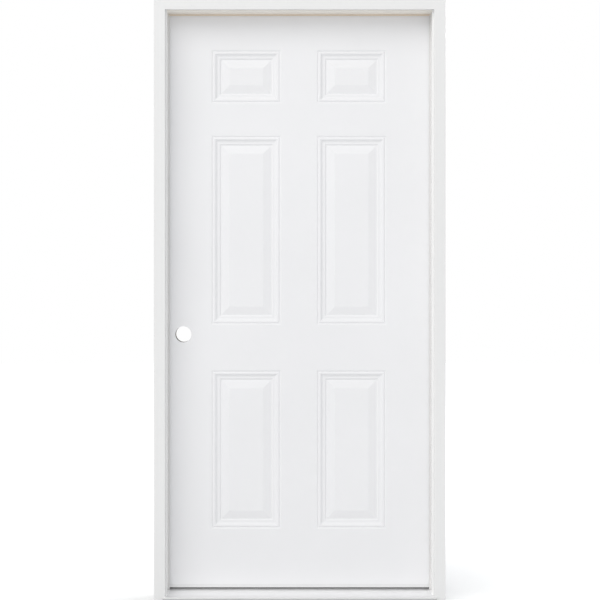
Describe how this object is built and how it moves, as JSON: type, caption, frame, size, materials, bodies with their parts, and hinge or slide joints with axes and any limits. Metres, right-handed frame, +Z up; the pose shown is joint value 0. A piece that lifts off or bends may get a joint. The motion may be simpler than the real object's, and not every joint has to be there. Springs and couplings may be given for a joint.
{
  "type": "prehung door",
  "caption": "Prehung exterior door: an embossed panelled steel leaf hinged in a cased wood frame with seals, a sweep and an aluminium sill, bored for a lockset.",
  "frame": {"origin": "on the floor under the sill, midway across the frame, in the plane where the casing lies on the wall's outside face", "axes": "+Z up, -Y to the outside, +X towards the hinge side as seen from outside"},
  "size_m": [0.9746, 0.1612, 2.0161],
  "materials": {
    "painted_steel": "white factory paint, satin",
    "primed_wood": "white paint over pine, satin",
    "bare_wood": "bare pine",
    "mill_aluminium": "mill finish",
    "composite": "moulded composite, matte",
    "seal_foam": "foam with a smooth film",
    "core_foam": "rigid foam",
    "sweep_vinyl": "soft vinyl",
    "hinge_steel": "satin plated steel",
    "screw_steel": "plated steel"
  },
  "bodies": {
    "frame": {"hinge_jamb": "primed_wood", "strike_jamb": "primed_wood", "head_jamb": "primed_wood", "hinge_casing": "primed_wood", "strike_casing": "primed_wood", "head_casing": "primed_wood", "sill_deck": "mill_aluminium", "sill_base": "composite", "sill_cap": "composite", "hinge_seal": "seal_foam", "strike_seal": "seal_foam", "head_seal": "seal_foam", "hinge_corner_pad": "seal_foam", "strike_corner_pad": "seal_foam", "upper_jamb_hinge_leaf": "hinge_steel", "middle_jamb_hinge_leaf": "hinge_steel", "lower_jamb_hinge_leaf": "hinge_steel", "upper_hinge_pin": "hinge_steel", "middle_hinge_pin": "hinge_steel", "lower_hinge_pin": "hinge_steel", "jamb_hinge_screws": "screw_steel", "sill_screws": "screw_steel", "head_screws": "screw_steel", "casing_nails": "screw_steel"},
    "door": {"outside_skin": "painted_steel", "inside_skin": "painted_steel", "hinge_stile": "bare_wood", "lock_stile": "bare_wood", "top_rail": "bare_wood", "bottom_rail": "bare_wood", "lock_block": "bare_wood", "foam_core": "core_foam", "door_sweep": "sweep_vinyl", "upper_door_hinge_leaf": "hinge_steel", "middle_door_hinge_leaf": "hinge_steel", "lower_door_hinge_leaf": "hinge_steel", "leaf_hinge_screws": "screw_steel"}
  },
  "joints": [
    {"name": "door_swing", "type": "hinge", "parent": "frame", "child": "door", "pos_m": [0.4556, 0.1286, 1], "axis": [0, 0, -1], "range_deg": [0, 180]}
  ]
}
